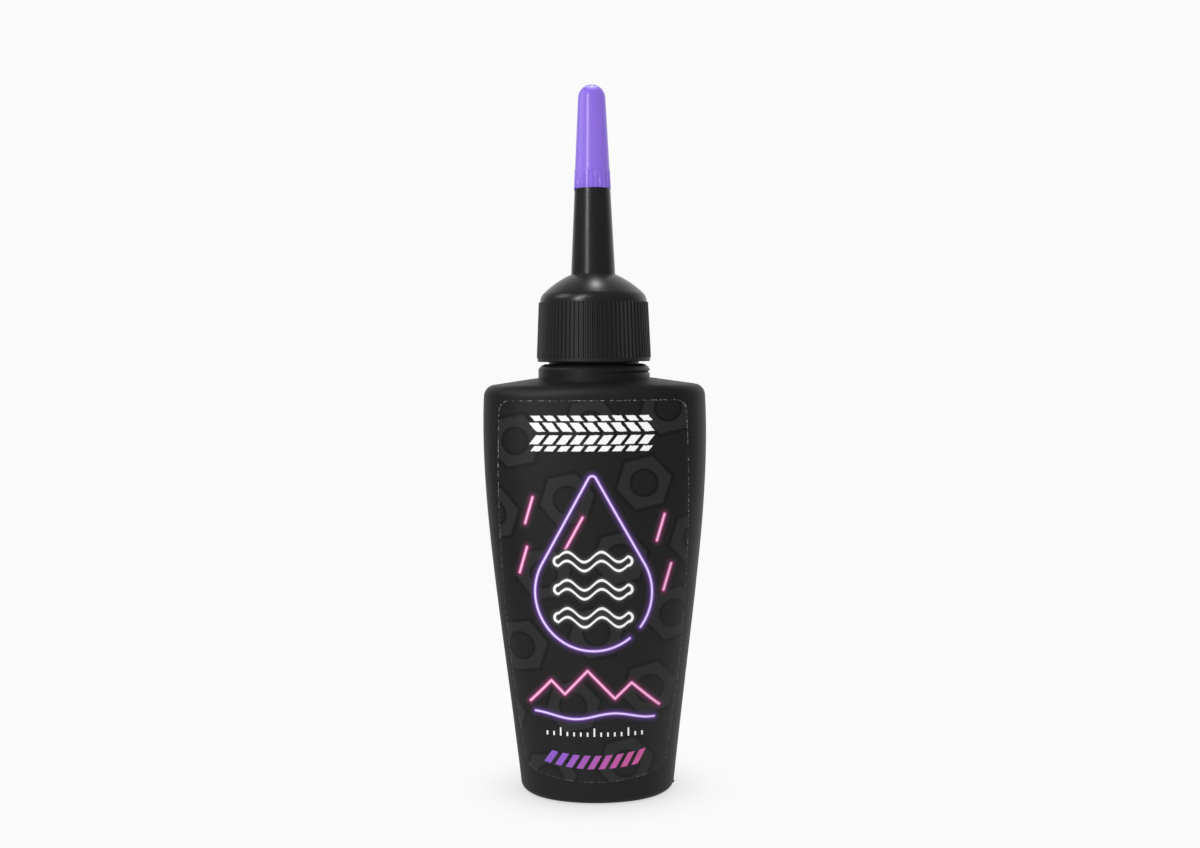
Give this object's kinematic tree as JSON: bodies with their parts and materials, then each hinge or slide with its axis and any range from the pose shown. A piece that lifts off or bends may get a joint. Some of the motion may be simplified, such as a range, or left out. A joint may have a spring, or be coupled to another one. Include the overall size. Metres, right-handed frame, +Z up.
{
  "type": "bicycle lube bottle",
  "caption": "Small oval squeeze bottle with a ribbed screw cap, a long tapered spout and a press-on tip, for dripping lube onto a bicycle chain.",
  "frame": {"origin": "centre of the base, on the surface that the bottle stands on", "axes": "+Z up along the neck and spout, X across the width, the label faces -Y"},
  "size_m": [0.044, 0.0273, 0.1391],
  "materials": {
    "bottle_plastic": "matt black blown plastic",
    "label_film": "satin printed film",
    "seal_foam": "white foam",
    "cap_plastic": "satin black moulded plastic",
    "tip_plastic": "satin purple moulded plastic"
  },
  "bodies": {
    "bottle": {"bottle": "bottle_plastic", "front_label": "label_film"},
    "washer": {"sealing_washer": "seal_foam"},
    "cap": {"nozzle_cap": "cap_plastic"},
    "tip": {"tip_cap": "tip_plastic"}
  },
  "joints": [
    {"name": "washer_rise", "type": "slide", "parent": "bottle", "child": "washer", "axis": [0, 0, 1], "range_m": [0, 0.00476]},
    {"name": "cap_unscrew", "type": "hinge", "parent": "washer", "child": "cap", "pos_m": [0, 0, 0.09685], "axis": [0, 0, 1], "range_deg": [0, 540]},
    {"name": "tip_pull", "type": "slide", "parent": "cap", "child": "tip", "axis": [0, 0, 1], "range_m": [0, 0.022]}
  ],
  "couplings": [
    {"joint": "washer_rise", "follows": "cap_unscrew", "m_per_rad": 0.00050532}
  ]
}
